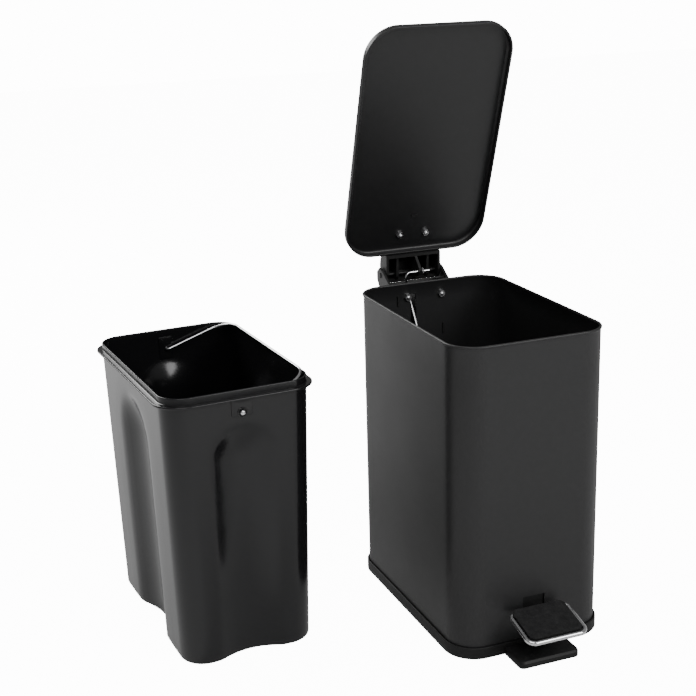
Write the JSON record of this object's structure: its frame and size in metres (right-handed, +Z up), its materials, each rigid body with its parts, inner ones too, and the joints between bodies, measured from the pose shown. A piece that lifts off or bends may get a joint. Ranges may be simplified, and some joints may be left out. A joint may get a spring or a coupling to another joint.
{
  "type": "pedal trash can",
  "caption": "Slim black steel pedal bin with a hinged lid lifted by a pedal through a rod, and a plastic inner bucket with a wire bail standing beside it.",
  "frame": {"origin": "middle of the can's footprint on the floor, on the flat underside of the base", "axes": "+Z up, +Y from the pedal towards the hinge, +X to the right seen from the pedal"},
  "size_m": [0.453, 0.4131, 0.6211],
  "materials": {
    "can_paint": "matte black powder coat, fine grain",
    "lid_paint": "satin black coat",
    "base_plastic": "matte moulded black",
    "hinge_plastic": "matte moulded black",
    "bucket_plastic": "glossy moulded black",
    "bright_wire": "bright plated wire",
    "fastener": "bright plated fasteners",
    "lever_steel": "black coated steel strip",
    "stand_steel": "zinc plated pressing",
    "tread_rubber": "pebbled black rubber",
    "foot_rubber": "plain black rubber"
  },
  "bodies": {
    "can": {"base_tray": "base_plastic", "rubber_feet": "foot_rubber", "base_screws": "fastener", "can_body": "can_paint", "hinge_body_bracket": "hinge_plastic", "hinge_pin": "lever_steel", "hinge_bolts": "fastener", "hinge_nuts": "fastener", "lever_stand": "stand_steel", "stand_screws": "fastener", "lever_pin": "fastener"},
    "lid": {"lid_panel": "lid_paint", "hinge_lid_bracket": "hinge_plastic", "lid_bolts": "fastener", "lid_nuts": "fastener"},
    "rod": {"lift_rod": "bright_wire", "rod_push_nut": "fastener"},
    "lever": {"pedal_lever": "lever_steel", "pedal_plate": "lever_steel", "pedal_pad": "tread_rubber", "pedal_wire": "bright_wire", "pedal_rivets": "fastener"},
    "bucket": {"bucket_shell": "bucket_plastic"},
    "bail": {"bail_wire": "bright_wire", "bail_caps": "fastener"}
  },
  "joints": [
    {"name": "lid_hinge", "type": "hinge", "parent": "can", "child": "lid", "pos_m": [0, 0.168, 0.335], "axis": [-1, 0, 0], "range_deg": [-71.3, 0]},
    {"name": "rod_pin", "type": "hinge", "parent": "lid", "child": "rod", "pos_m": [0, 0.14853, 0.33949], "axis": [-1, 0, 0], "range_deg": [0, 72.9]},
    {"name": "lever_pivot", "type": "hinge", "parent": "can", "child": "lever", "pos_m": [0, -0.045, 0.024], "axis": [1, 0, 0], "range_deg": [-7.6, 0]},
    {"name": "bucket_lift", "type": "slide", "parent": "can", "child": "bucket", "axis": [0, 0, 1], "range_m": [0, 0.35]},
    {"name": "bail_swing", "type": "hinge", "parent": "bucket", "child": "bail", "pos_m": [-0.276, 0.097, 0.267], "axis": [0.0576, -0.9983, 0], "range_deg": [0, 144]}
  ],
  "couplings": [
    {"joint": "rod_pin", "follows": "lid_hinge", "ratio": -1.0216},
    {"joint": "lever_pivot", "follows": "lid_hinge", "ratio": 0.10547}
  ]
}
